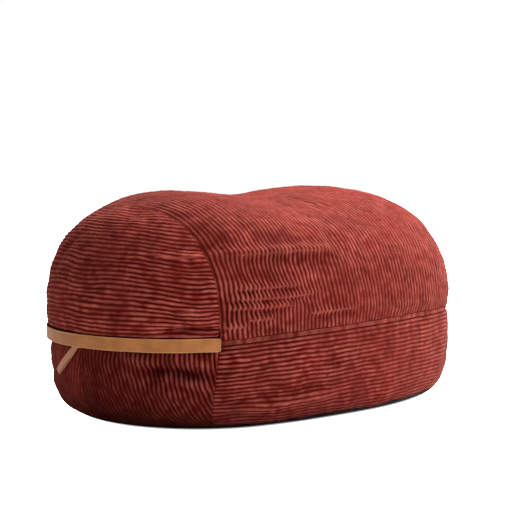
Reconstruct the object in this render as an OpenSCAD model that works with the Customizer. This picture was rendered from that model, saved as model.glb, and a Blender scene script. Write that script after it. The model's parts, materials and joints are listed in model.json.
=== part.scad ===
// Bean bag lounger: oblong corduroy cover sewn from checkerboard panels round a bead-filled liner,
// with a zip in the seam of its left end, a pull loop on the zip and a flat grip strap over it.
// +Z is up, X runs along the length, the floor is Z = 0 and the zipped end is at -X.

/* [Body] */
// Length over the fullest part
body_l = 1300; // [1200:10:1400]
// Width over the fullest part
body_w = 860; // [840:10:900]
// Height of the two crowns
body_h = 610; // [560:10:640]
// Height of the seam round the middle
seam_z = 240; // [225:5:255]
// Plan radius of the two round ends
end_r = 390; // [370:5:400]
// Share of the plan that the flat foot keeps
foot = 0.75; // [0.65:0.01:0.85]
// Depth of the soft dip between the crowns, as a share of the upper height
dip = 0.17; // [0:0.01:0.25]
// Half length of the dip along X
dip_l = 250; // [180:10:320]

/* [Panels] */
// Thickness of the lined corduroy
cloth_t = 3; // [2:0.5:4]
// Distance from the middle to each arched end seam
arch_x = 465; // [440:5:490]
// How far the corner seams lean towards the ends at the floor, in degrees
corner_lean = 6; // [0:1:10]
// Height of the flat band in the seam round the middle
band_h = 11; // [8:1:14]
// How far the seam is pulled in below the fullest part
groove_d = 14; // [10:1:18]
// Height where the black base panel starts
base_z = 28; // [20:2:40]

/* [Zip and pull] */
// Travel of the slider round the end, in degrees
zip_travel = 40; // [20:1:42]
// Length of the slider
slider_l = 14; // [12:1:18]
// Width of the pull loop's tape
loop_w = 16; // [12:1:18]
// Length of the pull loop
loop_l = 105; // [80:5:120]
// Lean of the pull loop from the vertical, in degrees
loop_lean = 37; // [0:1:40]

/* [Strap] */
// Width of the grip strap
strap_w = 34; // [30:1:38]
// Thickness of the grip strap
strap_t = 3; // [2.5:0.5:3.5]
// Half angle that the strap spans round the end
strap_a = 57.5; // [55:0.5:60]
// Half angle of the stiff grip in its middle
grip_a = 25; // [15:1:30]

/* [Inner bag] */
// Gap from the cover's outside to the inner bag's outside
liner_gap = 12; // [10:1:16]
// Thickness of the inner bag's cloth
liner_t = 1; // [0.8:0.1:1.5]

/* [Hidden] */

// Exponents that set how square the upper and lower profiles are
upper_plan_n = 2.8;
upper_rise_n = 2.7;
lower_n = 3.15;
// The lower half is a little slimmer than the upper half
lower_inset = 6;
// Half heights over which the seam's groove fades, above and below
groove_up = 32;
groove_down = 30;

half_l = body_l / 2;
half_w = body_w / 2;
end_cx = half_l - end_r;
side_r = (half_l * half_l - 2 * half_l * end_r + half_w * half_w) / (2 * (half_w - end_r));
side_cy = half_w - side_r;
join_x = end_cx + end_r * end_cx / (side_r - end_r);
join_y = -end_r * side_cy / (side_r - end_r);
join_a = atan2(join_y, join_x);
arc_a = atan2(-side_cy, end_cx);
band_gap = band_h / 2 + 0.5;

// Plan radius of the fullest part in direction a: two end arcs joined by two side arcs
function ray(a) =
    let (c = abs(cos(a)), s = abs(sin(a)),
         on_end = atan2(s, c) < join_a,
         d = on_end ? end_cx * c : side_cy * s,
         k = on_end ? end_r * end_r - end_cx * end_cx : side_r * side_r - side_cy * side_cy)
    d + sqrt(d * d + k);
function fade(z, h) = exp(-pow(z / h, 2));

// Share of the height gained by the upper half at plan share p, and the dip across the middle
function rise(p) = pow(max(0, 1 - pow(p, upper_plan_n)), 1 / upper_rise_n);
function dipped(x, f) = f * (1 - dip * exp(-pow(x / dip_l, 2)) * f);
crown = max([for (x = [0:5:half_l]) dipped(x, rise(x / half_l))]);
upper_k = (body_h - seam_z) / crown;

// A point of the upper half above plan point x, y, drawn in by inset
function upper_at(x, y, inset) =
    let (a = atan2(y, x), p = min(1, norm([x, y]) / ray(a)),
         dz = dipped(x, rise(p)) * (upper_k - inset),
         pull = inset + groove_d * fade(dz, groove_up),
         k = 1 - pull / ray(a) * pow(p, 2))
    [x * k, y * k, seam_z + max(band_gap, dz)];
// A point of the lower half in direction a: v is 0 at the seam and 90 on the floor
function lower_at(a, v, inset) =
    let (drop = max(sin(v), v < 89 ? band_gap / seam_z : 0),
         share = foot + (1 - foot) * pow(max(0, 1 - pow(drop, lower_n)), 1 / lower_n),
         dz = drop * (seam_z - inset),
         pull = inset + lower_inset + (groove_d - lower_inset) * fade(dz, groove_down),
         r = share * (ray(a) - pull))
    [r * cos(a), r * sin(a), seam_z - dz];

// A closed shell between two grids of points
module shell(outer, inner) {
    rows = len(outer);
    cols = len(outer[0]);
    n = rows * cols;
    pts = [for (g = [outer, inner]) for (row = g) for (p = row) p];
    quads = concat(
        [for (i = [0:rows - 2], j = [0:cols - 2]) let (q = i * cols + j)
            [q, q + 1, q + cols + 1, q + cols]],
        [for (i = [0:rows - 2], j = [0:cols - 2]) let (q = n + i * cols + j)
            [q, q + cols, q + cols + 1, q + 1]],
        [for (j = [0:cols - 2]) [j + 1, j, n + j, n + j + 1]],
        [for (j = [0:cols - 2]) let (q = (rows - 1) * cols + j) [q, q + 1, n + q + 1, n + q]],
        [for (i = [0:rows - 2]) let (q = i * cols) [q, q + cols, n + q + cols, n + q]],
        [for (i = [0:rows - 2]) let (q = i * cols + cols - 1) [q + cols, q, n + q, n + q + cols]]);
    polyhedron(pts, [for (q = quads) each [[q[0], q[2], q[1]], [q[0], q[3], q[2]]]]);
}
// A closed solid through rings of points, closed by a point at each end. Walls whose rings run
// backwards, the first ones, are split on their other diagonals so that nested walls stay parallel.
module ring_solid(start, rings, finish, backward) {
    cols = len(rings[0]);
    last = len(rings) - 1;
    pts = concat([start, finish], [for (ring = rings) for (p = ring) p]);
    polyhedron(pts, concat(
        [for (j = [0:cols - 1]) [0, 2 + j, 2 + (j + 1) % cols]],
        [for (i = [0:last - 1], j = [0:cols - 1])
            let (q = 2 + i * cols, k = (j + 1) % cols)
            each i < backward ? [[q + j, q + cols + j, q + k], [q + cols + j, q + cols + k, q + k]]
                              : [[q + j, q + cols + j, q + cols + k], [q + j, q + cols + k, q + k]]],
        [for (j = [0:cols - 1]) let (q = 2 + last * cols) [1, q + (j + 1) % cols, q + j]]));
}

// Upper panels: sections across the body at each x, swept from the front seam to the back seam
function plan_y(x) =
    abs(x) > join_x ? sqrt(max(0, pow(end_r, 2) - pow(abs(x) - end_cx, 2)))
                    : side_cy + sqrt(side_r * side_r - x * x);
function section(x, cols, inset) =
    [for (j = [0:cols]) upper_at(x, -plan_y(x) * cos(180 * j / cols), inset)];
module top_panel() {
    rows = 22;
    cols = 30;
    grids = [for (inset = [0, cloth_t])
        [for (i = [0:rows]) section((2 * i / rows - 1) * (arch_x - 1), cols, inset)]];
    shell(grids[0], grids[1]);
}
module upper_end(side) {
    rows = 12;
    cols = 24;
    tip = half_l - 0.5;
    grids = [for (inset = [0, cloth_t])
        [for (i = [0:rows])
            section(-(arch_x + (tip - arch_x) * sin(90 * i / rows)), cols, inset)]];
    mirror([side > 0 ? 1 : 0, 0, 0]) shell(grids[1], grids[0]);
}

// Lower panels: from the seam band down to the base panel
corner_a = atan2(plan_y(arch_x), arch_x);
base_v = asin(1 - base_z / seam_z);
function corner(v) = corner_a - corner_lean * v / base_v;
module lower_panel(from, to, from_corner, to_corner, cols) {
    rows = 7;
    margin = 0.1;
    function edge(base, k, v) = base + k * corner(v);
    grids = [for (inset = [0, cloth_t])
        [for (i = [0:rows]) let (v = base_v * i / rows,
            a0 = edge(from, from_corner, v) + margin, a1 = edge(to, to_corner, v) - margin)
            [for (j = [0:cols]) lower_at(a0 + (a1 - a0) * j / cols, v, inset)]]];
    shell(grids[1], grids[0]);
}
function lower_ring(v, inset, cols) = [for (j = [0:cols - 1]) lower_at(360 * j / cols, v, inset)];
function upper_ring(f, inset, cols) =
    [for (j = [0:cols - 1]) let (a = 360 * j / cols, r = f * ray(a))
        upper_at(r * cos(a), r * sin(a), inset)];

// Upper panels
module cover_top_panel() { color("firebrick") top_panel(); }
module cover_upper_left_end() { color("brown") upper_end(-1); }
module cover_upper_right_end() { color("brown") upper_end(1); }

// Lower panels
module cover_lower_front() { color("brown") lower_panel(180, 360, 1, -1, 24); }
module cover_lower_back() { color("brown") lower_panel(0, 180, 1, -1, 24); }
module cover_lower_left_end_front() { color("firebrick") lower_panel(180, 180, 0, 1, 8); }
module cover_lower_left_end_back() { color("firebrick") lower_panel(180, 180, -1, 0, 8); }
module cover_lower_right_end_front() { color("firebrick") lower_panel(0, 0, -1, 0, 8); }
module cover_lower_right_end_back() { color("firebrick") lower_panel(0, 0, 0, 1, 8); }

// Black base panel, turned up to meet the lower panels
module cover_base() {
    cols = 60;
    steps = [for (k = [0:5]) base_v + 1 + (90 - base_v - 1) * k / 5];
    inner = [for (k = [5:-1:0]) lower_ring(steps[k], cloth_t, cols)];
    outer = [for (k = [0:5]) lower_ring(steps[k], 0, cols)];
    color("black") ring_solid([0, 0, cloth_t], concat(inner, outer), [0, 0, 0], 6);
}

// Bands and tapes that follow the seam: a slice of ring from angle a0 to a1.
// The strips of the seam band stop just short of each other, as sewn lengths do.
module arc_strip(r, t, h, a0, a1) {
    rotate([0, 0, a0]) rotate_extrude(angle = a1 - a0, $fn = 360)
        translate([r - t, -h / 2]) square([t, h]);
}
// The same slice, placed round the left end: angles count from -X towards the back
module left_arc(r, t, h, a0, a1, z = 0) {
    translate([-end_cx, 0, seam_z + z]) arc_strip(r, t, h, 180 - a1, 180 - a0);
}
seam_r = end_r - groove_d;
band_t = cloth_t;
zip_start = -1.9;
zip_end = zip_travel + 2;
band_cut = 0.05;
band_a = arc_a - band_cut;
side_a = 90 - arc_a - band_cut;
module equator_seam_band() {
    color("firebrick") {
        left_arc(seam_r - 1, band_t, band_h, -band_a, zip_start - 0.4);
        left_arc(seam_r - 1, band_t, band_h, zip_end + 0.4, band_a);
        translate([end_cx, 0, seam_z]) arc_strip(seam_r - 1, band_t, band_h, -band_a, band_a);
        for (side = [-90, 90]) translate([0, side > 0 ? side_cy : -side_cy, seam_z])
            arc_strip(side_r - groove_d - 1, band_t, band_h, side - side_a, side + side_a);
    }
}

// Zip, 5 mm below the cloth's face
zip_in = 5;
tape_t = 0.8;
tape_h = 12;
teeth_t = 2.6;
teeth_h = 5.2;
module zip_tape(side) {
    color("darkred") left_arc(seam_r - zip_in + tape_t / 2, tape_t, tape_h, zip_start, zip_end,
        side * (teeth_h / 2 + 0.2 + tape_h / 2));
}
module zip_tape_upper() { zip_tape(1); }
module zip_tape_lower() { zip_tape(-1); }
module zip_teeth() {
    color("dimgray") left_arc(seam_r - zip_in + teeth_t / 2, teeth_t, teeth_h,
        zip_start + 0.7, zip_end - 0.7);
}
module zip_stop(a) {
    color("goldenrod") left_arc(seam_r - zip_in + 1.7, 3.4, teeth_h + 0.2, a, a + 0.5);
}
module zip_top_stop() { zip_stop(zip_start + 0.1); }
module zip_bottom_stop() { zip_stop(zip_end - 0.6); }

// Slider: outer and inner plates either side of the teeth, and the stud that the pull turns on.
// Modelled at the middle of the end, facing out along -X from the seam's radius.
plate_t = 1.2;
plate_h = 10;
stud_r = 2;
stud_out = 7.2;
head_t = 0.8;
head_r = 3.4;
tab_t = 1.2;
tab_in = 4.2;
fit_gap = 0.08;
module at_seam(out) { translate([-(end_cx + seam_r + out), 0, seam_z]) children(); }
module plate(out) {
    at_seam(out) rotate([0, -90, 0]) linear_extrude(plate_t) intersection() {
        square([plate_h, slider_l], center = true);
        circle(d = slider_l + 1, $fn = 64);
    }
}
module zip_slider() {
    color("goldenrod") {
        plate(-zip_in - teeth_t / 2 - 0.4 - plate_t);
        union() {
            plate(-zip_in + teeth_t / 2 + 0.4);
            at_seam(-zip_in + teeth_t / 2 + 0.4) rotate([0, -90, 0])
                cylinder(r = stud_r, h = stud_out - head_t + zip_in - teeth_t / 2 - 0.4, $fn = 48);
            at_seam(stud_out - head_t) rotate([0, -90, 0])
                cylinder(r = head_r, h = head_t, $fn = 48);
        }
    }
}

// Pull: a flat tab with an eye on the stud and a slot for the tape loop
eye_r = 4.8;
frame_w = 21;
frame_top = 9;
slot_top = 11.4;
slot_bottom = 16.6;
frame_bottom = 18.2;
slot_w = 18;
module hang(lean) { at_seam(0) rotate([lean, 0, 0]) children(); }
module zip_pull_tab() {
    color("goldenrod") hang(loop_lean) translate([-tab_in, 0, 0]) rotate([0, -90, 0])
        linear_extrude(tab_t) difference() {
            union() {
                circle(r = eye_r, $fn = 64);
                translate([-frame_top - 1, -3]) square([frame_top + 1, 6]);
                translate([-frame_bottom, -frame_w / 2])
                    square([frame_bottom - frame_top, frame_w]);
            }
            circle(r = stud_r + fit_gap, $fn = 64);
            translate([-slot_bottom, -slot_w / 2]) square([slot_bottom - slot_top, slot_w]);
        }
}
// Loop: one tape folded round the tab's lower bar, leaning out over the lower panel
loop_t = 1;
loop_gap = 3.2;
loop_flare = 11;
loop_shift = 0.35;
loop_top = 13;
module zip_pull_loop() {
    outer_r = loop_gap / 2 + loop_t;
    color("rosybrown") hang(loop_lean) translate([-tab_in - tab_t / 2 - loop_shift, 0, -loop_top - outer_r])
        rotate([0, loop_flare, 0]) rotate([90, 0, 0])
        linear_extrude(loop_w, center = true) difference() {
            union() {
                circle(r = outer_r, $fn = 48);
                translate([-outer_r, -loop_l + 2 * outer_r]) square([2 * outer_r, loop_l - 2 * outer_r]);
                translate([0, -loop_l + 2 * outer_r]) circle(r = outer_r, $fn = 48);
            }
            union() {
                circle(r = loop_gap / 2, $fn = 48);
                translate([-loop_gap / 2, -loop_l + 2 * outer_r])
                    square([loop_gap, loop_l - 2 * outer_r]);
                translate([0, -loop_l + 2 * outer_r]) circle(r = loop_gap / 2, $fn = 48);
            }
        }
}

// Strap: stands clear of the pull over the zip and comes down on the cloth at each end
strap_out = 11.5;
strap_end_out = 4;
strap_drop_from = 43;
strap_drop_to = 52;
function ease(k) = let (t = min(1, max(0, k))) t * t * (3 - 2 * t);
function strap_gap(a) = strap_out
    - (strap_out - strap_end_out) * ease((a - strap_drop_from) / (strap_drop_to - strap_drop_from));
module strap_grip() {
    color("peru") left_arc(seam_r + strap_out + strap_t, strap_t, strap_w, -grip_a, grip_a);
}
module strap_half(side) {
    steps = 26;
    from = grip_a + 0.04;
    function row(k, out, z) = let (a = from + (strap_a - from) * k / steps,
        r = seam_r + strap_gap(a) + out)
        [-end_cx - r * cos(a), r * sin(a), seam_z + z * strap_w / 2];
    pts = [for (k = [0:steps]) each [row(k, 0, -1), row(k, strap_t, -1),
        row(k, strap_t, 1), row(k, 0, 1)]];
    sides = [for (k = [0:steps - 1], j = [0:3]) let (q = 4 * k, m = (j + 1) % 4)
        each [[q + j, q + m, q + 4 + m], [q + j, q + 4 + m, q + 4 + j]]];
    q = 4 * steps;
    color("peru") mirror([0, side < 0 ? 1 : 0, 0])
        polyhedron(pts, concat(sides, [[0, 2, 1], [0, 3, 2], [q, q + 1, q + 2], [q, q + 2, q + 3]]));
}
module strap_front_half() { strap_half(-1); }
module strap_back_half() { strap_half(1); }
// Rows of stitches that hold both ends of the strap
module strap_stitching() {
    stitch_t = 0.5;
    stitch_h = 0.9;
    rows = 4;
    per_row = 5;
    r = seam_r + strap_end_out + strap_t + 0.05 + stitch_t;
    color("tan") for (side = [-1, 1], i = [0:rows - 1], k = [0:per_row - 1]) {
        a = strap_a - 1 - 0.8 * k;
        a0 = side > 0 ? a - 0.5 : -a;
        left_arc(r, stitch_t, stitch_h, a0, a0 + 0.5, (strap_w - 8) * (i / (rows - 1) - 0.5));
    }
}

// Inner bag in two halves, its plain zip at the right end, and the fill
liner_cols = 40;
shares = [1, 0.985, 0.94, 0.86, 0.74, 0.58, 0.4, 0.2];
depths = [for (k = [0:7]) 90 * k / 7];
module liner_upper() {
    n = len(shares) - 1;
    inner = [for (k = [n:-1:0]) upper_ring(shares[k], liner_gap + liner_t, liner_cols)];
    outer = [for (k = [0:n]) upper_ring(shares[k], liner_gap, liner_cols)];
    color("gainsboro") ring_solid(upper_at(0, 0, liner_gap + liner_t), concat(inner, outer),
        upper_at(0, 0, liner_gap), n + 1);
}
module liner_lower() {
    inset = liner_gap + liner_t;
    inner = [for (k = [7:-1:0]) lower_ring(depths[k], inset, liner_cols)];
    outer = [for (k = [0:7]) lower_ring(depths[k], liner_gap, liner_cols)];
    color("gainsboro") ring_solid([0, 0, inset], concat(inner, outer), [0, 0, liner_gap], 8);
}
liner_r = seam_r - liner_gap;
module right_arc(r, t, h, half) {
    translate([end_cx, 0, seam_z]) arc_strip(r, t, h, -half, half);
}
module liner_zip_chain() { color("white") right_arc(liner_r + 2.4, 2, 6, 25); }
module liner_zip_slider() {
    color("silver") translate([end_cx, 0, seam_z]) arc_strip(liner_r + 4.6, 2, 8, 23, 24.6);
}
module bead_fill() {
    inset = liner_gap + liner_t + 1;
    lower = [for (k = [7:-1:0]) lower_ring(depths[k], inset, liner_cols)];
    upper = [for (f = shares) upper_ring(f, inset, liner_cols)];
    color("whitesmoke") ring_solid([0, 0, inset], concat(lower, upper), upper_at(0, 0, inset), 8);
}
// Blank care label, sewn inside the cover beside the zip
module care_label() {
    color("white") left_arc(seam_r - 5.2, 0.6, 24, -14, -10, -20);
}

cover_top_panel();
cover_upper_left_end();
cover_upper_right_end();
cover_lower_front();
cover_lower_back();
cover_lower_left_end_front();
cover_lower_left_end_back();
cover_lower_right_end_front();
cover_lower_right_end_back();
cover_base();
equator_seam_band();
zip_tape_upper();
zip_tape_lower();
zip_teeth();
zip_top_stop();
zip_bottom_stop();
zip_slider();
zip_pull_tab();
zip_pull_loop();
strap_grip();
strap_front_half();
strap_back_half();
strap_stitching();
liner_upper();
liner_lower();
liner_zip_chain();
liner_zip_slider();
bead_fill();
care_label();
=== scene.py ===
"""Bean bag lounger in jumbo corduroy: the looks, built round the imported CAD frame."""
import json
import math
import bpy
import numpy as np
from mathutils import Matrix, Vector

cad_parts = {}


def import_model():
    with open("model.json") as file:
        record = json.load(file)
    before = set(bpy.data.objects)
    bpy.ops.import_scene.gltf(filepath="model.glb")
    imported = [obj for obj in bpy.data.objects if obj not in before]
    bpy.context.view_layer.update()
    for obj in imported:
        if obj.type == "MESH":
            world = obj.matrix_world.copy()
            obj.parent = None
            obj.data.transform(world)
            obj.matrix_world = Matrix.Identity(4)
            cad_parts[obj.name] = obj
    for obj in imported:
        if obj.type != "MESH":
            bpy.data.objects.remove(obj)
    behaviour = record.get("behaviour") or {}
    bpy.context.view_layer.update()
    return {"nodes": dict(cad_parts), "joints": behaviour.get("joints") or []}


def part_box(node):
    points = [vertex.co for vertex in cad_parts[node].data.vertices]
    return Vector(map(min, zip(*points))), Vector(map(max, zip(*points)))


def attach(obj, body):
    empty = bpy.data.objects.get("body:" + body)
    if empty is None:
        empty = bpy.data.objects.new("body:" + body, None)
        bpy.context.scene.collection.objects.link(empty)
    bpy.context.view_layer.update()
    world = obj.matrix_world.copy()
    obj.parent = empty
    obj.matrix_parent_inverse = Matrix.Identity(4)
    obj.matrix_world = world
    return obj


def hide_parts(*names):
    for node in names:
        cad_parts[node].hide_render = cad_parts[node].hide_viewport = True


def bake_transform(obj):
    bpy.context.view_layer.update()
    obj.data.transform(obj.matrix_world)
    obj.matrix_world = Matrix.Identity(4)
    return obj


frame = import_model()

# ---------------------------------------------------------------- sizes, in metres
JOINTS = {joint["name"]: joint for joint in frame["joints"]}
END_X = -JOINTS["zip_travel"]["pos_m"][0]
SEAM_Z = JOINTS["zip_travel"]["pos_m"][2]
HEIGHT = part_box("cover_top_panel")[1].z
ARCH_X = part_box("cover_top_panel")[1].x + 0.001
HALF_L = 0.65
HALF_W = 0.43
END_R = HALF_L - END_X
FOOT = 0.704  # foot's share of the fullest plan
DIP = 0.23  # depth of the dip between the crowns, as a share of the height
DIP_L = 0.344
DIP_X = -0.03
UPPER_PLAN_N = 2.42
UPPER_RISE_N = 2.6
LOWER_N = 3.26
LOWER_INSET = 0.0034
GROOVE = 0.014  # depth of the groove round the middle at the zipped end
SHALLOW = 0.009  # and elsewhere
GROOVE_UP = 0.032
GROOVE_DOWN = 0.030
BASE_Z = 0.017
CORNER_LEAN = math.radians(4.2)  # how far the lower corner seams run towards the ends

# How the filled bag has settled on the floor
CLIMB_FROM = -0.5
SEAM_CLIMB = 0.071  # rise of the seam, per metre along X from there
SEAM_EASE = 0.049  # and how that rise eases off
LEFT_TALLER = 0.064
BACK_TALLER = 0.088
ENDS_LOWER = 0.104
FOOT_DRAG_X = 0.05
FOOT_DRAG_Y = 0.04
RIGHT_LONGER = 0.083
RIGHT_NARROWER = 0.0045
FULL_FRONT = 0.085  # share by which the foot bulges towards the front right
FULL_BACK = 0.055  # and towards the back left

SIDE_R = (HALF_L**2 - 2 * HALF_L * END_R + HALF_W**2) / (2 * (HALF_W - END_R))
SIDE_Y = HALF_W - SIDE_R
JOIN_X = END_X + END_R * END_X / (SIDE_R - END_R)
JOIN_A = math.atan2(-END_R * SIDE_Y / (SIDE_R - END_R), JOIN_X)
SEAM_R = END_R - GROOVE
BAND_GAP = 0.006

WALE = 0.012
TOP_WALE = 1.13 * WALE  # the top panel's wales are pulled apart a little
SIDE_WALE = 0.9 * WALE  # and the lower sides' lie closer
TOP_BUNCHED = 0.12  # how far the top panel's wales crowd towards the zipped end
STEPS = 5  # mesh points across a wale
LAP = 2.2 * WALE / STEPS  # how far a panel reaches in under a seam
PAST_SEAM = 1.009  # the same for an end panel, as a share of its turn
CORD_H = 0.0034

STRAP_W = 0.034
STRAP_T = 0.003
STRAP_A = 58.9  # half of the strap's turn round the end, in degrees
STRAP_OUT = 0.0119  # clear space behind its middle
STRAP_SEWN_OUT = 0.004  # and behind its sewn ends
GRIP_A = 25.0

LOOP_W = 0.016
LOOP_T = 0.001
LOOP_LONG = 0.0905
LOOP_HALF_GAP = 0.0021
LOOP_TOP = 0.0156  # how far it starts below the seam
LOOP_IN = 0.00515  # how far its top stands inside the seam's radius
LOOP_LEAN = math.radians(37)
LOOP_FLARE = math.radians(10.5)
LOOP_TWIST = math.radians(-7)


# ---------------------------------------------------------------- smooth body, before it settles
def smooth(t):
    """0 below 0, 1 above 1, and an even slope between."""
    t = np.clip(t, 0, 1)
    return t * t * (3 - 2 * t)


def ray(a):
    """Plan radius of the fullest part in direction a."""
    c, s = np.abs(np.cos(a)), np.abs(np.sin(a))
    on_end = np.arctan2(s, c) < JOIN_A
    d = np.where(on_end, END_X * c, SIDE_Y * s)
    k = np.where(on_end, END_R**2 - END_X**2, SIDE_R**2 - SIDE_Y**2)
    return d + np.sqrt(d * d + k)


def rise(p):
    """Share of the height at plan share p."""
    return np.maximum(0, 1 - p**UPPER_PLAN_N) ** (1 / UPPER_RISE_N)


def dipped(x, f):
    """A share of the height, less the dip between the crowns."""
    return f * (1 - DIP * np.exp(-(((x - DIP_X) / DIP_L) ** 2)) * f)


def groove(a):
    """Depth of the groove round the middle: full at the zipped end, shallower elsewhere."""
    return SHALLOW + (GROOVE - SHALLOW) * smooth((-np.cos(a) - 0.2) / 0.3)


SPINE = np.linspace(-HALF_L, HALF_L, 521)
UPPER_K = (HEIGHT - SEAM_Z) / dipped(SPINE, rise(np.abs(SPINE) / HALF_L)).max()


def upper_at(x, y):
    """Point of the upper half above plan point x, y."""
    a = np.arctan2(y, x)
    r = ray(a)
    p = np.minimum(1, np.hypot(x, y) / r)
    dz = dipped(x, rise(p)) * UPPER_K
    k = 1 - groove(a) * np.exp(-((dz / GROOVE_UP) ** 2)) / r * p**2
    return np.stack([x * k, y * k, SEAM_Z + dz], -1)


def towards(a, centre, half):
    """1 in direction centre, fading to 0 half degrees either side of it."""
    off = (np.degrees(a) - centre + 180) % 360 - 180
    return np.cos(np.clip(off / half, -1, 1) * math.pi / 2) ** 2


def lower_at(a, v):
    """Point of the lower half in direction a: v is 0 at the seam and a right angle on the floor."""
    drop = np.sin(v)
    full = towards(a, -35, 75)
    foot = FOOT + FULL_FRONT * full + FULL_BACK * towards(a, 155, 70)
    n = LOWER_N + 0.8 * full
    share = foot + (1 - foot) * np.maximum(0, 1 - drop**n) ** (1 / n)
    dz = drop * SEAM_Z
    pull = LOWER_INSET + (groove(a) - LOWER_INSET) * np.exp(-((dz / GROOVE_DOWN) ** 2))
    r = share * (ray(a) - pull)
    return np.stack([r * np.cos(a), r * np.sin(a), SEAM_Z - dz + 0 * r], -1)


def plan_y(x):
    """Half width of the plan at x."""
    x = np.abs(x)
    on_end = np.sqrt(np.maximum(0, END_R**2 - (x - END_X) ** 2))
    return np.where(x > JOIN_X, on_end, SIDE_Y + np.sqrt(SIDE_R**2 - x * x))


# ---------------------------------------------------------------- helpers
LATTICE_N = 32
LATTICE = np.random.RandomState(11).rand(LATTICE_N, LATTICE_N, LATTICE_N)
SKEW = np.linalg.qr(np.random.RandomState(5).randn(3, 3))[0]


def noise(p, size, seed=0.0):
    """Smooth value noise from -1 to 1, with features about size metres across."""
    q = p @ SKEW / size + seed * 7.31 + 500
    i = np.floor(q).astype(int)
    f = q - i
    f = f * f * (3 - 2 * f)
    total = 0
    for corner in range(8):
        d = np.array([corner & 1, corner >> 1 & 1, corner >> 2 & 1])
        w = np.where(d, f, 1 - f).prod(-1)
        k = (i + d) % LATTICE_N
        total = total + w * LATTICE[k[..., 0], k[..., 1], k[..., 2]]
    return 2 * total - 1


def unit(v):
    """Vectors of length 1."""
    return v / (np.linalg.norm(v, axis=-1, keepdims=True) + 1e-12)


def run_length(P, axis):
    """Distance along a grid's rows or columns from their first point."""
    step = np.linalg.norm(np.diff(P, axis=axis), axis=-1)
    pad = [(0, 0), (0, 0)]
    pad[axis] = (1, 0)
    return np.cumsum(np.pad(step, pad), axis=axis)


def line_length(line):
    """Distance along a line from its first point."""
    return run_length(line[:, None], 0)[:, 0]


def between(at, end, reach):
    """1 between 0 and end, fading to 0 over reach at both."""
    return smooth(at / reach) * smooth((end - at) / reach)


def mesh_object(name, points, faces, **values):
    """An object from points and faces, with one float attribute for each named array."""
    mesh = bpy.data.meshes.new(name)
    mesh.from_pydata(points.reshape(-1, 3).tolist(), [], [list(map(int, f)) for f in faces])
    mesh.polygons.foreach_set("use_smooth", [True] * len(mesh.polygons))
    for key, value in values.items():
        layer = mesh.attributes.new(key, "FLOAT", "POINT")
        layer.data.foreach_set("value", np.asarray(value, np.float32).ravel())
    mesh.update()
    obj = bpy.data.objects.new(name, mesh)
    bpy.context.collection.objects.link(obj)
    return obj


def grid_faces(P, keep=None, wrap=False):
    """Quads of a grid, turned to face outwards, leaving out those with a corner that fails keep."""
    rows, cols = P.shape[:2]
    i, j = np.meshgrid(np.arange(rows - 1), np.arange(cols if wrap else cols - 1), indexing="ij")
    a = i * cols + j
    b = i * cols + (j + 1) % cols
    quads = np.stack([a, b, b + cols, a + cols], -1).reshape(-1, 4)
    if keep is not None:
        quads = quads[keep.ravel()[quads].all(1)]
    flat = P.reshape(-1, 3)
    n = np.cross(flat[quads[:, 2]] - flat[quads[:, 0]], flat[quads[:, 3]] - flat[quads[:, 1]])
    mid = flat[quads].mean(1) - np.array([0, 0, SEAM_Z])
    return quads if (n * mid).sum() > 0 else quads[:, ::-1]


def finish_piece(obj, material, body, slot, *nodes):
    """Gives a piece its material and the body it rides on, if any, and hides the CAD nodes that it stands
    for.
    """
    obj.data.materials.append(material)
    if body:
        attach(obj, body)
    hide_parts(*nodes)


# ---------------------------------------------------------------- materials
def connect(tree, node, inputs):
    """Sets a node's inputs: a socket is linked, and anything else is its value."""
    for key, value in inputs.items():
        if isinstance(value, bpy.types.NodeSocket):
            tree.links.new(value, node.inputs[key])
        else:
            node.inputs[key].default_value = value


def add(tree, kind, inputs=None, **settings):
    """A new node with its settings and inputs."""
    node = tree.nodes.new(kind)
    for key, value in settings.items():
        setattr(node, key, value)
    connect(tree, node, inputs or {})
    return node


def new_material(name):
    """A material, its node tree, its shader and a socket with the place on the object, in metres."""
    material = bpy.data.materials.new(name)
    material.use_nodes = True
    tree = material.node_tree
    where = add(tree, "ShaderNodeTexCoord").outputs["Object"]
    return material, tree, tree.nodes["Principled BSDF"], where


def clouds(tree, where, scale, detail=2.0, roughness=0.5):
    """Cloudy variation from 0 to 1; scale is about how many clouds there are to the metre."""
    inputs = {"Vector": where, "Scale": scale, "Detail": detail, "Roughness": roughness}
    return add(tree, "ShaderNodeTexNoise", inputs).outputs["Fac"]


def ranged(tree, value, low, high, to_low=0.0, to_high=1.0):
    """Carries a value from one range to another."""
    inputs = {"Value": value, "From Min": low, "From Max": high, "To Min": to_low, "To Max": to_high}
    return add(tree, "ShaderNodeMapRange", inputs).outputs[0]


def combine(tree, operation, *values):
    return add(tree, "ShaderNodeMath", dict(enumerate(values)), operation=operation).outputs[0]


def painted(tree, name):
    """The mesh's own value of that name."""
    return add(tree, "ShaderNodeAttribute", attribute_name=name).outputs["Fac"]


def mix(tree, factor, a, b, blend="MIX"):
    inputs = {0: factor, 6: a, 7: b}
    return add(tree, "ShaderNodeMix", inputs, data_type="RGBA", blend_type=blend).outputs[2]


def bump_chain(tree, shader, heights):
    """Stacks bump nodes: heights is a list of (socket, strength, distance)."""
    normal = None
    for height, strength, distance in heights:
        inputs = {"Height": height, "Strength": strength, "Distance": distance}
        if normal:
            inputs["Normal"] = normal
        normal = add(tree, "ShaderNodeBump", inputs).outputs["Normal"]
    connect(tree, shader, {"Normal": normal})


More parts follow.
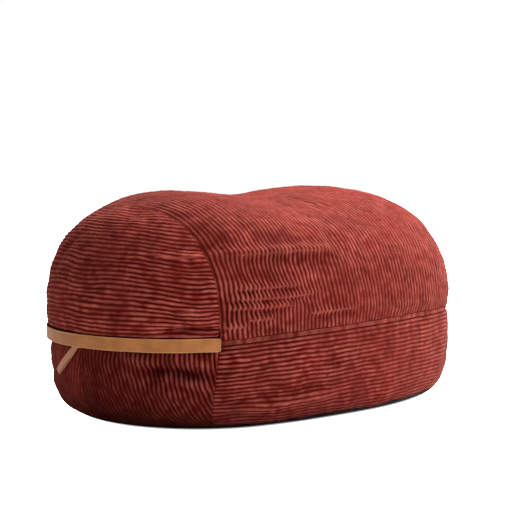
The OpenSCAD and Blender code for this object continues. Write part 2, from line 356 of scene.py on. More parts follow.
def corduroy():
    """Cotton cord pile: painted shade between the wales, a painted highlight on their crowns, and brushed
    patches.
    """
    material, tree, shader, where = new_material("corduroy")
    brushed = clouds(tree, where, 14.0, 4.0, 0.6)
    tufts = clouds(tree, where, 260.0, 3.0, 0.7)
    fibres = clouds(tree, where, 1500.0)
    # The ramp paints shade in the grooves and a highlight on the crowns.
    ramp = add(tree, "ShaderNodeValToRGB", {"Fac": painted(tree, "ridge")})
    stops = ramp.color_ramp.elements
    stops[0].position, stops[0].color = 0.0, (0.034, 0.0006, 0.0002, 1)
    stops[1].position, stops[1].color = 1.0, (0.35, 0.080, 0.060, 1)
    stop = stops.new(0.55)
    stop.color = (0.13, 0.0105, 0.0075, 1)
    patch = ranged(tree, brushed, 0.3, 0.7, 0.82, 1.2)
    tuft = ranged(tree, tufts, 0.3, 0.7, 0.78, 1.24)
    # Each panel's painted light and shade scales the pile colour, with the random brushed patches and tufts.
    gain = combine(tree, "MULTIPLY", combine(tree, "MULTIPLY", patch, tuft), painted(tree, "nap"))
    colour = add(tree, "ShaderNodeVectorMath", {0: ramp.outputs[0], "Scale": gain}, operation="SCALE")
    connect(tree, shader, {
        "Base Color": colour.outputs[0], "Roughness": 0.92, "Specular IOR Level": 0.03,
        "Sheen Weight": 0.13, "Sheen Roughness": 0.4, "Sheen Tint": (1.0, 0.42, 0.34, 1)})
    bump_chain(tree, shader, [(tufts, 0.5, 0.0012), (fibres, 0.35, 0.0004)])
    return material


def plain_fabric(name, dark, light, thread=0.0008, sheen=0.2):
    """A fine plain weave, its threads worked out from the place on the object."""
    material, tree, shader, where = new_material(name)
    threads = []
    for turn in (0.0, math.pi / 2):
        axis = add(tree, "ShaderNodeMapping", {"Vector": where, "Rotation": (turn, turn, 0.3)})
        inputs = {"Vector": axis.outputs[0], "Scale": 0.31 / thread, "Distortion": 0.6, "Detail": 1.0}
        threads.append(add(tree, "ShaderNodeTexWave", inputs).outputs["Fac"])
    weave = combine(tree, "MAXIMUM", *threads)
    worn = combine(tree, "MULTIPLY", weave, clouds(tree, where, 25.0, 5.0))
    connect(tree, shader, {
        "Base Color": mix(tree, worn, dark, light), "Roughness": 0.9, "Sheen Weight": sheen})
    bump_chain(tree, shader, [(weave, 0.4, thread * 0.5)])
    return material


def leather(name, base, dark, light, rough=0.55):
    """Grained leather: pebbled bump, cloudy dye and paler rubbed edges."""
    material, tree, shader, where = new_material(name)
    cloud = clouds(tree, where, 30.0, 5.0, 0.6)
    grain = add(tree, "ShaderNodeTexVoronoi", {"Vector": where, "Scale": 900.0}).outputs["Distance"]
    fine = clouds(tree, where, 2200.0, 3.0)
    dyed = mix(tree, ranged(tree, cloud, 0.38, 0.62), dark, base)
    toned = mix(tree, 1.0, dyed, ranged(tree, grain, 0.0, 0.6, 0.8, 1.05), "MULTIPLY")
    connect(tree, shader, {
        "Base Color": mix(tree, painted(tree, "edge"), toned, light), "Specular IOR Level": 0.35,
        "Roughness": ranged(tree, cloud, 0.0, 1.0, rough - 0.1, rough + 0.15)})
    bump_chain(tree, shader, [(grain, 0.25, 0.0006), (fine, 0.2, 0.0003)])
    return material


def metal(name, base):
    """Aged brass: polished in the scratches, dull elsewhere."""
    material, tree, shader, where = new_material(name)
    cloud = clouds(tree, where, 120.0, 6.0)
    scratch = clouds(tree, where, 1200.0)
    worn = tuple(0.55 * c for c in base[:3]) + (1,)
    connect(tree, shader, {
        "Base Color": mix(tree, cloud, base, worn), "Metallic": 1.0,
        "Roughness": ranged(tree, cloud, 0.0, 1.0, 0.25, 0.5)})
    bump_chain(tree, shader, [(scratch, 0.15, 0.0002)])
    return material


def plastic(name, base, rough=0.4):
    """Moulded plastic with a faint spark-eroded grain."""
    material, tree, shader, where = new_material(name)
    grain = clouds(tree, where, 1800.0, 3.0)
    shade = tuple(0.8 * c for c in base[:3]) + (1,)
    connect(tree, shader, {
        "Base Color": mix(tree, clouds(tree, where, 40.0), shade, base), "Roughness": rough})
    bump_chain(tree, shader, [(grain, 0.2, 0.0002)])
    return material


CORD = corduroy()
BASE_CLOTH = plain_fabric("base_fabric", (0.002, 0.002, 0.002, 1), (0.010, 0.010, 0.011, 1), 0.001, 0.02)
STRAP = leather("strap_leather", (0.53, 0.20, 0.049, 1), (0.41, 0.142, 0.031, 1), (0.63, 0.30, 0.12, 1))
TAPE = leather("pull_tape", (0.72, 0.31, 0.19, 1), (0.58, 0.24, 0.145, 1), (0.80, 0.45, 0.30, 1), 0.7)
ZIP_CLOTH = plain_fabric("zip_tape", (0.08, 0.008, 0.007, 1), (0.18, 0.02, 0.018, 1), 0.0006)
ZIP_TEETH = plastic("zip_teeth", (0.1, 0.012, 0.01, 1))
BRASS = metal("zip_metal", (0.5, 0.36, 0.17, 1))
THREAD = plain_fabric("thread", (0.34, 0.16, 0.06, 1), (0.5, 0.27, 0.12, 1), 0.0004)
LINER = plain_fabric("liner_fabric", (0.55, 0.55, 0.53, 1), (0.8, 0.8, 0.78, 1), 0.0008)
LINER_ZIP = plastic("liner_zip", (0.8, 0.8, 0.8, 1))
BEADS = plastic("beads", (0.9, 0.9, 0.9, 1), 0.6)
LABEL = plain_fabric("label", (0.75, 0.75, 0.72, 1), (0.9, 0.9, 0.88, 1), 0.0004)


# ---------------------------------------------------------------- folds and creases
class Fold:
    """A soft raised fold or hollow along a path over the body, which may also push wales sideways."""

    def __init__(self, *path, width, height, lip=0.0, shear=0.0):
        self.path = np.array(path)
        self.width, self.height, self.lip, self.shear = width, height, lip, shear

    def measure(self, P):
        """Distance above the path, and a share that fades towards and past its ends."""
        steps = np.linalg.norm(np.diff(self.path, axis=0), axis=1)
        total = steps.sum()
        best, above, share = np.inf, 0, 0
        done = 0.0
        for start, end, step in zip(self.path, self.path[1:], steps):
            along = (end - start) / step
            t = (P - start) @ along
            off = P - start - np.clip(t, 0, step)[..., None] * along
            d = np.linalg.norm(off, axis=-1)
            place = (done + np.clip(t, 0, step)) / total
            closer = d < best
            above = np.where(closer, off[..., 2] - along[2] * (off @ along), above)
            share = np.where(closer, smooth(np.minimum(place, 1 - place) / 0.25 + 0.15), share)
            best = np.where(closer, d, best)
            done += step
        return best, np.where(above < 0, -best, best), share

    def relief(self, P):
        """Height of the fold over the smooth body."""
        d, signed, share = self.measure(P)
        k = d / self.width
        return share * np.exp(-k * k) * (self.height + self.lip * signed / self.width)

    def push(self, P):
        """Sideways shift of the wales, opposite on the two sides of the path."""
        d, signed, share = self.measure(P)
        return self.shear * share * np.tanh(signed / 0.003) * np.exp(-d / 0.012)

    def line(self, P, width):
        """1 on the path, fading away from it."""
        d, signed, share = self.measure(P)
        return share * np.exp(-((d / width) ** 2))


def on_side(turn, height):
    """Point of the smooth body at a height, turn degrees round from the zipped end towards the front."""
    a = math.radians(180 + turn)
    if height < SEAM_Z:
        return lower_at(a, math.asin(1 - height / SEAM_Z))
    reach = ray(a) * np.linspace(1, 0.05, 1000)
    line = upper_at(reach * math.cos(a), reach * math.sin(a))
    return line[np.searchsorted(line[:, 2], height)]


def side_fold(*path, **shape):
    """A fold along points given as a turn and a height."""
    return Fold(*[on_side(turn, height) for turn, height in path], **shape)


def top_fold(*path, **shape):
    """A fold along points given on plan."""
    return Fold(*[upper_at(x, y) for x, y in path], **shape)


FRONT_KINKS = [
    side_fold((36, 0.28), (42, 0.28), width=0.008, height=0.005, lip=0.006, shear=0.0025),
    side_fold((41, 0.29), (50, 0.285), width=0.008, height=0.005, lip=0.006, shear=0.003),
    side_fold((36, 0.325), (46, 0.32), (58, 0.32), width=0.009, height=0.005, lip=0.006, shear=0.003),
    side_fold((36, 0.35), (43, 0.345), (54, 0.34), (66, 0.34), width=0.009, height=0.004, lip=0.005,
              shear=0.0025),
    side_fold((37, 0.375), (45, 0.37), (60, 0.365), width=0.009, height=0.004, lip=0.005, shear=0.0025),
    side_fold((58, 0.285), (70, 0.285), (84, 0.29), width=0.009, height=0.004, lip=0.004, shear=0.002),
    side_fold((31, 0.455), (40, 0.45), (50, 0.45), (60, 0.45), (78, 0.44), width=0.016, height=0.011,
              lip=0.009, shear=0.001)]
END_CREASES = [
    side_fold((17, 0.455), (24, 0.455), (31, 0.455), width=0.012, height=0.007, lip=0.006),
    side_fold((25, 0.40), (33, 0.395), width=0.010, height=0.004, lip=0.004),
    side_fold((24, 0.32), (29, 0.32), (34, 0.315), width=0.009, height=0.003, lip=0.003)]
SHOULDER = side_fold((-14, 0.44), (-28, 0.47), width=0.10, height=0.012)
TOP_CREASES = [
    top_fold((0.11, 0.045), (0.055, -0.08), (0.03, -0.18), (0.06, -0.25), width=0.012, height=-0.004),
    top_fold((0.01, -0.015), (-0.07, -0.16), (-0.065, -0.23), width=0.012, height=-0.004),
    side_fold((82, 0.535), (75, 0.475), (74, 0.42), width=0.022, height=-0.005)]
SLACK_UNDER_KINKS = side_fold((36, 0.415), (52, 0.41), (76, 0.41), width=0.030, height=-0.006)
STRAP_CREASE = side_fold((22, 0.265), (29, 0.27), (36, 0.27), width=0.009, height=-0.014)
FOOT_FOLDS = [
    side_fold((12, 0.22), (18, 0.20), (21, 0.19), width=0.014, height=0.010),
    side_fold((23, 0.215), (27, 0.205), (34, 0.19), width=0.014, height=0.012),
    side_fold((17, 0.185), (22, 0.18), (27, 0.175), (33, 0.16), width=0.014, height=-0.013),
    side_fold((21, 0.17), (30, 0.145), (34, 0.13), width=0.016, height=0.011),
    side_fold((19, 0.145), (25, 0.11), (31, 0.10), width=0.018, height=0.008),
    side_fold((35, 0.07), (45, 0.065), (58, 0.075), (76, 0.08), width=0.013, height=0.008, lip=0.004),
    side_fold((35, 0.095), (51, 0.10), (74, 0.11), width=0.018, height=-0.005)]
FOLDS = FRONT_KINKS + END_CREASES + TOP_CREASES + FOOT_FOLDS + [SHOULDER, SLACK_UNDER_KINKS, STRAP_CREASE]

# ---------------------------------------------------------------- settled body, on a map of directions
A_N = 1080  # columns, for the direction round the bag
W_N = 540  # rows, for the slope from its middle


def settle(P):
    """The filled bag's lean: its seam climbs to the right, its back stands higher, its foot drags."""
    x, y, z = P[..., 0], P[..., 1], P[..., 2]
    low = np.clip((SEAM_Z - z) / SEAM_Z, 0, 1)
    t = np.maximum(0, x - CLIMB_FROM)
    lift = SEAM_CLIMB * t - SEAM_EASE * t**2
    tall = 1 - LEFT_TALLER * x + BACK_TALLER * y - ENDS_LOWER * x**2
    return np.stack([x + FOOT_DRAG_X * low**2 + RIGHT_LONGER * np.maximum(0, x) ** 2,
                     y * (1 - RIGHT_NARROWER * x) + FOOT_DRAG_Y * low**2,
                     np.where(z > SEAM_Z, SEAM_Z + (z - SEAM_Z) * tall + lift, z + lift * (1 - low))], -1)


def body_map():
    """Points of the smooth body on a grid of direction (columns) and slope from its middle (rows)."""
    azimuth = np.linspace(0, 2 * math.pi, A_N + 1)
    slope = np.linspace(-math.pi / 2, math.pi / 2, W_N + 1)
    t = np.linspace(0, math.pi / 2, 900)
    p, f = np.cos(t) ** (2 / UPPER_PLAN_N), np.sin(t) ** (2 / UPPER_RISE_N)
    v = math.pi / 2 * (1 - (1 - np.linspace(0, 1, 500)) ** 1.5)
    out = np.empty((W_N + 1, A_N + 1, 3))
    for j, a in enumerate(azimuth):
        r = float(ray(a))
        dz = dipped(p * r * math.cos(a), f) * UPPER_K
        reach = p * r * (1 - groove(a) * np.exp(-((dz / GROOVE_UP) ** 2)) / r * p**2)
        low = lower_at(a, v)
        low_r, low_z = np.hypot(low[:, 0], low[:, 1]), low[:, 2] - SEAM_Z
        rs = np.concatenate([[0], low_r[::-1], reach[1:]])
        zs = np.concatenate([[low_z[-1]], low_z[::-1], dz[1:]])
        w = np.arctan2(zs, rs)
        w[-1] = math.pi / 2
        radius = np.interp(slope, w[1:], np.hypot(rs, zs)[1:])
        floor_w = w[1]
        radius = np.where(slope < floor_w, -SEAM_Z / np.sin(np.minimum(slope, floor_w)), radius)
        out[:, j] = np.stack([radius * np.cos(slope) * math.cos(a), radius * np.cos(slope) * math.sin(a),
                              SEAM_Z + radius * np.sin(slope)], -1)
    return out


def grid_normals(G):
    """Outward normals of the map; its columns wrap round."""
    wide = np.concatenate([G[:, -2:-1], G, G[:, 1:2]], 1)
    across = np.gradient(wide, axis=1)[:, 1:-1]
    n = unit(np.cross(across, np.gradient(G, axis=0)))
    n[0] = (0, 0, -1)
    n[-1] = n[-3].mean(0)
    return unit(n)


def look_up(G, P):
    """Bilinear value of a map in the direction of each point of P."""
    a = np.arctan2(P[..., 1], P[..., 0]) % (2 * math.pi) / (2 * math.pi) * A_N
    w = np.arctan2(P[..., 2] - SEAM_Z, np.hypot(P[..., 0], P[..., 1]))
    w = (w + math.pi / 2) / math.pi * W_N
    j = np.minimum(a.astype(int), A_N - 1)
    i = np.clip(w.astype(int), 0, W_N - 1)
    fj, fi = (a - j)[..., None], (w - i)[..., None]
    return ((G[i, j] * (1 - fj) + G[i, j + 1] * fj) * (1 - fi)
            + (G[i + 1, j] * (1 - fj) + G[i + 1, j + 1] * fj) * fi)


BASE_V = math.asin(1 - BASE_Z / SEAM_Z)
CORNER_A = math.atan2(float(plan_y(ARCH_X)), ARCH_X)


def corner(v):
    """Direction of a lower corner seam at slope v."""
    return CORNER_A - CORNER_LEAN * v / BASE_V


def spread(G, reach):
    """Blurs a map over reach cells each way; its columns wrap round."""
    k = np.hanning(2 * reach + 3)[1:-1]
    k /= k.sum()
    rows = np.pad(G, ((reach, reach), (0, 0)), "edge")
    rows = sum(w * rows[i:i + len(G)] for i, w in enumerate(k))
    wide = np.concatenate([rows[:, -reach:], rows, rows[:, :reach]], 1)
    return sum(w * wide[:, i:i + G.shape[1]] for i, w in enumerate(k))


def off_arch(x, n_x):
    """Distance over the cloth from an arch seam, where the cloth's normal has that X."""
    return np.abs(np.abs(x) - ARCH_X) / np.sqrt(np.maximum(0.05, 1 - n_x**2))


STRIDE = 5
PRESSURE = 4.0
SIM_FRAMES = 20
SIM_CAP = 0.024


def inflate(body, N, sewn):
    """How far the cloth between the sewn lines lifts when it is blown up: a cloth simulation.

    The coarse cover is a little roomier than the body, so it buckles softly towards its seams.
    """
    coarse = body[::STRIDE, :-1:STRIDE]
    out = N[::STRIDE, :-1:STRIDE]
    obj = mesh_object("cover_under_pressure", coarse, grid_faces(coarse, wrap=True))
    group = obj.vertex_groups.new(name="sewn")
    group.add(np.nonzero(sewn[::STRIDE, :-1:STRIDE].ravel())[0].tolist(), 1.0, "REPLACE")
    modifier = obj.modifiers.new("cloth", "CLOTH")
    cloth = modifier.settings
    cloth.quality = 5
    cloth.mass = 0.3
    cloth.tension_stiffness = cloth.compression_stiffness = 15
    cloth.shear_stiffness = 5
    cloth.bending_stiffness = 0.5
    cloth.use_pressure = True
    cloth.uniform_pressure_force = PRESSURE
    cloth.shrink_min = -0.03
    cloth.vertex_group_mass = "sewn"
    cloth.effector_weights.gravity = 0
    modifier.collision_settings.use_collision = False
    modifier.point_cache.frame_start = 1
    modifier.point_cache.frame_end = SIM_FRAMES
    for frame_number in range(1, SIM_FRAMES + 1):
        bpy.context.scene.frame_set(frame_number)
    blown = obj.evaluated_get(bpy.context.evaluated_depsgraph_get()).data
    moved = np.empty(coarse.size, np.float32)
    blown.vertices.foreach_get("co", moved)
    lift = ((moved.reshape(coarse.shape) - coarse) * out).sum(-1).clip(-SIM_CAP, SIM_CAP)
    bpy.data.objects.remove(obj)
    bpy.context.scene.frame_set(1)
    lift -= spread(lift, 10)
    lift = np.concatenate([lift, lift[:, :1]], 1)
    rows, cols = np.linspace(0, len(lift) - 1, W_N + 1), np.linspace(0, lift.shape[1] - 1, A_N + 1)
    lift = np.stack([np.interp(cols, np.arange(lift.shape[1]), row) for row in lift])
    lift = np.stack([np.interp(rows, np.arange(len(lift)), col) for col in lift.T], -1)
    return spread(lift[:, :-1], 3)[:, list(range(A_N)) + [0]]


LONG_CREASES = np.array([0.4, 0.4, 1])
PAINTED_CREASE_GAIN = 24.0  # how strongly relief is painted into the pile's tone as highlight and shade, per metre


def shaped_body():
    """The settled, creased body, and the painted highlight on its raised creases and painted shade in its
    hollows, as a tone for the pile.
    """
    smooth_body = body_map()
    N = grid_normals(smooth_body)
    x, y, z = smooth_body[..., 0], smooth_body[..., 1], smooth_body[..., 2]
    from_arch = off_arch(x, N[..., 0])
    from_seam = np.abs(z - SEAM_Z)
    h = sum(fold.relief(smooth_body) for fold in FOLDS)
    h += 0.003 * noise(smooth_body, 0.16, 2) + 0.0016 * noise(smooth_body, 0.05, 3)
    h += 0.0020 * noise(smooth_body * LONG_CREASES, 0.024, 8)
    h += np.where(z > SEAM_Z, 0.0025 * np.exp(-from_arch / 0.03), 0) * noise(smooth_body, 0.03, 6)
    h += 0.003 * np.exp(-from_seam / 0.03) * noise(smooth_body * np.array([1, 1, 0.25]), 0.03, 7)
    settled = settle(smooth_body)
    corner_x = ARCH_X - 0.2 * np.maximum(0, SEAM_Z - z)
    sewn = (from_seam < 0.009) | (z < 0.02)
    sewn |= (z > SEAM_Z) & (from_arch < 0.007)
    sewn |= (z < SEAM_Z) & (np.abs(np.abs(x) - corner_x) < 0.009)
    h += inflate(settled, N, sewn)
    turn = np.degrees(np.arctan2(y, -x - END_X))
    pull_side = smooth((turn + 8) / 8) * smooth((64 - turn) / 8) * (x < -END_X) * (z < SEAM_Z)
    pull_side *= smooth((z - 0.08) / 0.05)  # here the cloth stays flat, clear of the pull
    calm = smooth((z - 0.004) / 0.02)
    h = np.where(pull_side > 0, np.minimum(h, h * (1 - pull_side)), h)
    h -= (0.003 + 0.003 * smooth((turn - 12) / 10)) * pull_side
    body = settled + N * (h * calm)[..., None]
    body[..., 2] = np.maximum(body[..., 2], 0)
    # Relief finer than the blur becomes painted highlight on raised creases and painted shade in hollows.
    fine = h[:, :-1] - spread(h[:, :-1], 14)
    fine = spread(fine, 1)[:, list(range(A_N)) + [0]]
    return body, np.clip(PAINTED_CREASE_GAIN * fine, -0.25, 0.16)


BODY, PAINTED_CREASE_LIGHT = shaped_body()
NORMALS = grid_normals(BODY)


def place(P, height=0.0):
    """Moves points of the smooth body onto the settled, creased one, height metres proud of it."""
    return look_up(BODY, P) + unit(look_up(NORMALS, P)) * np.asarray(height)[..., None]


# ---------------------------------------------------------------- cover
def crown(phase):
    """Height of the cord's pile across a wale: 0 in the groove, 1 on the crown."""
    f = phase - np.floor(phase)
    return 1 - np.abs(2 * f - 1) ** 2.2


def wobble(P, scale=1.0):
    """Sideways wander of the wales, in metres."""
    slack = 0.45 + 0.55 * smooth((0.15 - P[..., 0]) / 0.4)
    return scale * slack * (0.0036 * noise(P * np.array([0.3, 0.3, 1]), 0.030, 4) + 0.0030 * noise(P, 0.07, 5)
                            + 0.0010 * noise(P, 0.018, 6))


def gathered(P):
    """Depth of the wales and strength of their painted groove shade: deepest where the cloth bunches at the
    zipped end's front corner.
    """
    off = (P - np.array([-0.45, -0.30, 0.27])) / np.array([0.35, 0.30, 0.22])
    bunched = np.exp(-(off**2).sum(-1))
    taut = 0.62 - 0.10 * smooth((P[..., 2] - 0.44) / 0.08)
    return (taut + (1.18 - taut) * bunched) * (1 + 0.3 * noise(P, 0.06, 21))


def under_strap(P):
    """1 where a sewn end of the strap presses on the cloth."""
    turn = np.degrees(np.arctan2(np.abs(P[..., 1]), -P[..., 0] - END_X))
    return (smooth((turn - 45) / 5) * smooth((STRAP_A + 1.4 - turn) / 1.2) * (P[..., 0] < 0)
            * smooth((STRAP_W / 2 + 0.006 - np.abs(P[..., 2] - SEAM_Z)) / 0.005))


def cover_piece(name, P, phase, seams, node, keep=None, nap=1.0, plain=1.0, shade=1.0, creases=()):
    """One corduroy panel from its grid of smooth points, wale phase and seams (distance, depth, width, tuck).

    nap scales the panel's pile colour as painted light and shade, for how brightly that panel is lit. plain
    under 1 makes its wales shallower and their painted groove shade fainter, shade under 1 darkens the pile
    as painted shade, and creases are folds that get painted shade in the grooves beside them and a painted
    highlight along their line.
    """
    h, near = 0, 1
    for d, depth, width, tuck in seams:
        h = h - depth * np.exp(-d / width) - tuck * smooth(1 - d / 0.003)
        near = near * smooth(d / 0.0025 + (0.6 if tuck < 0.001 else 0.3))
    pressed = under_strap(P)
    cord = crown(phase)
    full = 0.85 + 0.35 * noise(P * np.array([0.6, 0.6, 1]), 0.018, 9)
    tufts = noise(P, 0.011, 12)
    # deep sets both the wales' depth and how strongly their painted groove shade and crown highlight show.
    deep = gathered(P) * plain
    # Painted light in the pile: shade in the grooves and by the seams, highlight on the crowns and creases.
    shown = cord * (0.5 + 0.5 * near) * (0.85 + 0.25 * noise(P, 0.014, 13))
    shown = (0.57 + (shown - 0.57) * deep + look_up(PAINTED_CREASE_LIGHT[..., None], P)[..., 0]) * shade
    # Along the creases the grooves beside them get painted shade and the crease line a painted highlight.
    if creases:
        pinched = np.minimum(1, sum(fold.line(P, 0.018) for fold in creases))
        deep = deep * (1 + 0.4 * pinched)
        shown *= 1 - 0.45 * pinched * (1 - cord)
        shown = np.maximum(shown, 0.85 * sum(fold.line(P, 0.0045) for fold in creases))
    pile = CORD_H * cord * near * full * deep + 0.0007 * tufts
    points = place(P, pile * (1 - 0.6 * pressed) + h - 0.005 * pressed)
    obj = mesh_object(name, points, grid_faces(points, keep), ridge=shown, nap=nap + 0 * cord)
    finish_piece(obj, CORD, "bag", "corduroy", node)


def arch_distance(P):
    return off_arch(P[..., 0], look_up(NORMALS, P)[..., 0])


# Each seam is (depth it pulls in, width of that pull, how far its very edge tucks under)
ARCH_SEAM = (0.0, 0.010, 0.0006)
UNDERLAP = (0.0, 1.0, 0.004)
BAND_TOP = (0.0, 0.02, 0.005)
BAND_FOOT = (0.003, 0.006, 0.009)
CORNER_SEAM = (0.0, 0.012, 0.0006)
CENTRE_SEAM = (0.002, 0.010, 0.003)
BASE_SEAM = (0.003, 0.012, 0.005)


def top_panel():
    """The long panel over both crowns; its wales run across the bag."""
    wales = round(2 * ARCH_X / TOP_WALE)
    u = np.linspace(-1, 1, wales * STEPS + 1)
    x = ARCH_X * (u + TOP_BUNCHED * (u * u - 1))
    t = np.linspace(0, 1, 900)
    t = math.pi * (0.5 - 0.5 * np.sign(1 - 2 * t) * np.abs(1 - 2 * t) ** 0.55)  # closest by the seams
    cols = 281
    even = np.linspace(-1, 1, cols)
    even = 0.5 + 0.5 * (1.25 * even - 0.25 * even**3)
    P = np.empty((len(x), cols, 3))
    for i, xi in enumerate(x):
        line = upper_at(xi + 0 * t, -plan_y(xi) * np.cos(t))
        s = line_length(line)
        half = len(t) // 2
        s0 = np.interp(SEAM_Z + BAND_GAP, line[:half, 2], s[:half])
        at = s0 + even * (s[-1] - 2 * s0)
        P[i] = np.stack([np.interp(at, s, line[:, k]) for k in range(3)], -1)
    inner = smooth((ARCH_X - np.abs(x)) / 0.02)[:, None]
    push = sum(fold.push(P) for fold in FRONT_KINKS)
    lean = 0.012 * smooth((0.43 - P[..., 2]) / 0.19) * smooth(-P[..., 1] / 0.2)
    P[..., 0] += (wobble(P) + push) * inner + lean * smooth((ARCH_X - np.abs(x)) / 0.1)[:, None]
    s = run_length(P, 1)
    d_seam = np.minimum(s, s[:, -1:] - s)
    phase = (0.5 * (u + 1) * wales + 0.5)[:, None] + 0 * s
    seams = [(arch_distance(P), *ARCH_SEAM), (d_seam, *BAND_TOP)]
    cover_piece("cover_top_cord", P, phase, seams, "cover_top_panel", creases=FRONT_KINKS)


def end_point(side, p, u):
    """Point of an upper end at plan share p and a share u of the way to its arch seams."""
    phi = np.arccos(np.clip((ARCH_X / p - END_X) / END_R, -1, 1)) * u
    return upper_at(side * p * (END_X + END_R * np.cos(phi)), p * END_R * np.sin(phi))


def upper_end(side, name, node):
    """The end panel under an arch seam; its wales run level."""
    t = np.linspace(0, 1, 1200)
    f = t ** 0.8
    share = (1 - f**UPPER_RISE_N) ** (1 / UPPER_PLAN_N)
    share = share[share > ARCH_X / HALF_L]
    line = upper_at(share * HALF_L, 0 * share)
    s = line_length(line)
    s0 = np.interp(SEAM_Z + BAND_GAP, line[:, 2], s)
    rows = int((s[-1] - s0) / WALE * STEPS)
    even = s0 + np.arange(rows + 1) * (s[-1] - s0) / rows
    p = np.interp(even, s, share)[:, None]
    u = np.linspace(-1, 1, 241)[None, :]
    P = end_point(side, p, u)
    shift = wobble(P, 1.1) * between(even - s0, s[-1] - s0, 0.03)[:, None]
    shift *= smooth(arch_distance(P) / 0.03 + 0.4)
    shift -= (0.020 * smooth((np.abs(u) - 0.3) / 0.7) * smooth((even - s0) / 0.12)[:, None]
              * smooth((s[-1] - even) / 0.15)[:, None])
    P = end_point(side, np.interp(even[:, None] + shift, s, share), u * PAST_SEAM)
    inside = np.maximum(0, side * P[..., 0] - ARCH_X + 0.003)
    d_seam = (even - s0)[:, None] + 0 * u
    seams = [(arch_distance(P), *ARCH_SEAM), (inside, *UNDERLAP), (d_seam, *BAND_TOP)]
    # The end panels' pile is lightened as painted light.
    cover_piece(name, P, d_seam / WALE, seams, node, nap=1.3, creases=END_CREASES if side < 0 else ())


V_LINE = np.linspace(math.asin(BAND_GAP / SEAM_Z), BASE_V, 300)


def side_point(side, u, v):
    """Point of a lower side at slope v, a share u of the way between its corner seams."""
    return lower_at(side * (corner(v) + (math.pi - 2 * corner(v)) * u), v)


def lower_side(side, name, node):
    """A long lower panel; its wales run level."""
    s = line_length(lower_at(side * math.pi / 2, V_LINE))
    rows = int(s[-1] / SIDE_WALE * STEPS)
    even = np.linspace(0, s[-1], rows + 1)[:, None]
    u = np.linspace(0, 1, 261)[None, :]
    P = side_point(side, u, np.interp(even, s, V_LINE))
    shift = wobble(P, 0.9) * between(even, s[-1], 0.03)
    P = side_point(side, u, np.interp(even + shift, s, V_LINE))
    row = run_length(P, 1)
    down = even + 0 * u
    seams = [(np.minimum(row, row[:, -1:] - row), *CORNER_SEAM), (down, *BAND_FOOT),
             (s[-1] - down, *BASE_SEAM)]
    cover_piece(name, P, down / SIDE_WALE, seams, node)


def lower_end(end, side, name, node, nap, plain=1.0, shade=1.0):
    """Half of a lower end, on the end along X and the side along Y; its wales run down from the seam."""
    s = line_length(lower_at(math.pi, V_LINE))
    even = np.linspace(0, s[-1], 76)
    v = np.interp(even, s, V_LINE)
    share = np.linspace(0, PAST_SEAM, 300)
    tables = [line_length(lower_at(share * corner(k), k)) for k in v]
    drift = 0.16 * even[:, None]
    spare = int(drift.max() / WALE * STEPS) + 4
    cols = int(max(t[-1] for t in tables) / WALE * STEPS) + spare
    w = (np.arange(cols) - spare) * WALE / STEPS
    P0 = lower_at(math.pi - side * np.outer(np.ones(len(v)), w / END_R), v[:, None])
    at = w[None, :] + wobble(P0) + drift
    a = np.empty((len(v), cols))
    d_corner = np.empty((len(v), cols))
    for i, k in enumerate(v):
        a[i] = np.interp(at[i], tables[i], share) * corner(k)
        d_corner[i] = np.interp(1, share, tables[i]) - at[i]
    keep = (d_corner > -LAP) & (at > -LAP)
    inside = np.maximum(0, d_corner + 0.003)
    d_corner = np.maximum(0, d_corner)
    at = np.maximum(0, at)
    a = side * a if end > 0 else math.pi - side * a
    P = lower_at(a, v[:, None])
    down = even[:, None] + 0 * a
    seams = [(d_corner, *CORNER_SEAM), (inside, *UNDERLAP), (at, *CENTRE_SEAM), (down, *BAND_FOOT),
             (s[-1] - down, *BASE_SEAM)]
    cover_piece(name, P, w[None, :] / WALE + 0 * a, seams, node, keep=keep, nap=nap, plain=plain,
                shade=shade)


def base_panel():
    """Black cloth over the flat foot and up its rim."""
    v = np.linspace(BASE_V, math.pi / 2, 14)[:, None]
    a = np.linspace(0, 2 * math.pi, 361)[None, :-1]
    rings = lower_at(a, v)
    inner = np.stack([rings[-1] * np.array([k, k, 1]) for k in np.linspace(0.95, 0.02, 16)])
    P = np.concatenate([rings, inner])
    points = place(P, 0 * P[..., 0])
    obj = mesh_object("base_cloth", points, grid_faces(points, wrap=True))
    finish_piece(obj, BASE_CLOTH, "bag", "base_fabric", "cover_base")


def seam_band():
    """Flat band of turned-in cloth round the middle, left out where the zip runs."""
    a = np.linspace(0, 2 * math.pi, 1081)[None, :-1]
    z = np.linspace(-1, 1, 13)[:, None]
    r = ray(a) - groove(a)
    P = np.stack([r * np.cos(a) + 0 * z, r * np.sin(a) + 0 * z, SEAM_Z + 0.0075 * z + 0 * a], -1)
    turn = np.degrees(np.arctan2(P[..., 1], -P[..., 0] - END_X))
    zipped = (turn > -2.2) & (turn < 42.4) & (P[..., 0] < 0)
    edge = smooth((np.abs(z) - 0.7) / 0.3)
    points = place(P, -0.0015 - 0.006 * edge - 0.003 * under_strap(P))
    # The band's tone: random variation, with painted shade darkening its tucked edges.
    ridge = 0.72 + 0.2 * noise(P * np.array([1, 1, 0.2]), 0.012, 8) - 0.6 * edge
    obj = mesh_object("seam_band_cord", points, grid_faces(points, ~zipped, wrap=True), ridge=ridge,
                      nap=1 + 0 * ridge)
    finish_piece(obj, CORD, "bag", "corduroy", "equator_seam_band")


def inner_piece(name, depth, material, slot, *nodes):
    """Closed skin that follows the cover at a depth."""
    points = (BODY - NORMALS * depth)[6:W_N - 5:6, :-1:8]
    rows, cols = points.shape[:2]
    flat = np.concatenate([points.reshape(-1, 3), points[:1].mean(1), points[-1:].mean(1)])
    quads = grid_faces(points, wrap=True)
    ring = np.arange(cols)
    turn = (ring + 1) % cols
    bottom = np.stack([turn, ring, 0 * ring + rows * cols], -1)
    top = np.stack([ring, turn, 0 * ring + rows * cols + 1], -1) + np.array([1, 1, 0]) * (rows - 1) * cols
    obj = mesh_object(name, flat, quads.tolist() + bottom.tolist() + top.tolist())
    finish_piece(obj, material, "bag", slot, *nodes)


